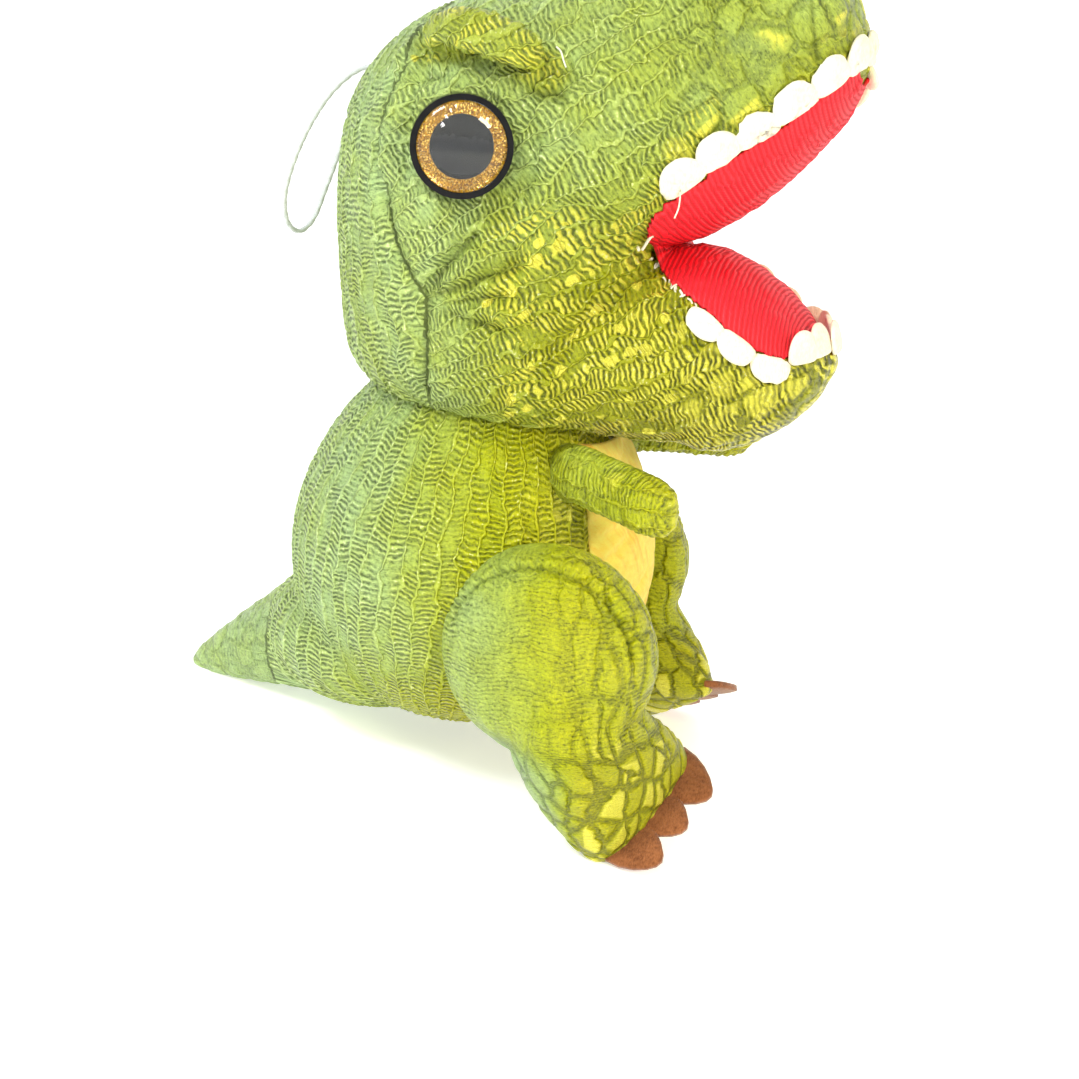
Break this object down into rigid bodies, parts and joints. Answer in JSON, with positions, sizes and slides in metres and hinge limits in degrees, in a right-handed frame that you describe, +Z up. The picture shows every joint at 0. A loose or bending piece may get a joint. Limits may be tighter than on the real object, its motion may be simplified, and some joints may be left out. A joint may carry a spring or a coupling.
{
  "type": "stuffed dinosaur",
  "caption": "Sitting-size plush tyrannosaur with an open felt-toothed mouth, round glitter eyes, short arms, stuffed thighs and a hanging loop.",
  "frame": {"origin": "on the ground plane under the torso, midway between the left and right sides", "axes": "the toy faces -Y, +X is its left side, +Z is up"},
  "size_m": [0.1201, 0.1714, 0.224],
  "materials": {
    "crinkle_green": "crinkled scale-print fabric with foil",
    "belly_plush": "short-pile plush with quilted pleats",
    "mouth_rib": "ribbed jersey",
    "tooth_felt": "felt",
    "claw_felt": "felt",
    "fibre_fill": "polyester fibre filling",
    "bean_bag": "plain woven pouch of pellets",
    "loop_cord": "twisted nylon cord",
    "eye_black": "gloss black",
    "eye_glitter": "gold glitter disc",
    "eye_clear": "clear moulded dome",
    "washer_white": "matte white"
  },
  "bodies": {
    "torso": {"torso_skin": "crinkle_green", "belly_panel": "belly_plush", "torso_stuffing": "fibre_fill", "bean_pouch": "bean_bag"},
    "tail": {"tail_skin": "crinkle_green", "tail_stuffing": "fibre_fill"},
    "head": {"head_skin": "crinkle_green", "head_stuffing": "fibre_fill", "palate_lining": "mouth_rib", "upper_teeth": "tooth_felt", "right_brow": "crinkle_green", "left_brow": "crinkle_green", "right_eye_back": "eye_black", "right_eye_iris": "eye_glitter", "right_eye_pupil": "eye_black", "right_eye_dome": "eye_clear", "right_eye_washer": "washer_white", "left_eye_back": "eye_black", "left_eye_iris": "eye_glitter", "left_eye_pupil": "eye_black", "left_eye_dome": "eye_clear", "left_eye_washer": "washer_white", "hang_loop": "loop_cord"},
    "jaw": {"jaw_skin": "crinkle_green", "jaw_stuffing": "fibre_fill", "mouth_floor": "mouth_rib", "lower_teeth": "tooth_felt"},
    "right_arm": {"right_arm_skin": "crinkle_green", "right_arm_stuffing": "fibre_fill"},
    "right_leg": {"right_thigh_skin": "crinkle_green", "right_thigh_stuffing": "fibre_fill", "right_foot_skin": "crinkle_green", "right_foot_stuffing": "fibre_fill", "right_claws": "claw_felt"},
    "left_arm": {"left_arm_skin": "crinkle_green", "left_arm_stuffing": "fibre_fill"},
    "left_leg": {"left_thigh_skin": "crinkle_green", "left_thigh_stuffing": "fibre_fill", "left_foot_skin": "crinkle_green", "left_foot_stuffing": "fibre_fill", "left_claws": "claw_felt"}
  },
  "joints": [
    {"name": "neck_nod", "type": "hinge", "parent": "torso", "child": "head", "pos_m": [0, 0.00083, 0.09705], "axis": [1, 0, 0], "range_deg": [-5, 5], "stiffness_Nm_per_rad": 2},
    {"name": "jaw_close", "type": "hinge", "parent": "head", "child": "jaw", "pos_m": [0, -0.03792, 0.14843], "axis": [-1, 0, 0], "range_deg": [0, 18], "stiffness_Nm_per_rad": 0.3},
    {"name": "tail_lift", "type": "hinge", "parent": "torso", "child": "tail", "pos_m": [0, 0.05367, 0.0385], "axis": [1, 0, 0], "range_deg": [0, 14], "stiffness_Nm_per_rad": 1},
    {"name": "right_shoulder", "type": "hinge", "parent": "torso", "child": "right_arm", "pos_m": [-0.03, -0.0282, 0.09234], "axis": [-1, 0, 0], "range_deg": [-20, 30], "stiffness_Nm_per_rad": 0.05},
    {"name": "left_shoulder", "type": "hinge", "parent": "torso", "child": "left_arm", "pos_m": [0.03, -0.0282, 0.09234], "axis": [-1, 0, 0], "range_deg": [-20, 30], "stiffness_Nm_per_rad": 0.05},
    {"name": "right_hip", "type": "hinge", "parent": "torso", "child": "right_leg", "pos_m": [-0.037, -0.03379, 0.04869], "axis": [-1, 0, 0], "range_deg": [-8, 12], "stiffness_Nm_per_rad": 1.5},
    {"name": "left_hip", "type": "hinge", "parent": "torso", "child": "left_leg", "pos_m": [0.037, -0.02267, 0.04867], "axis": [-1, 0, 0], "range_deg": [-8, 12], "stiffness_Nm_per_rad": 1.5}
  ]
}
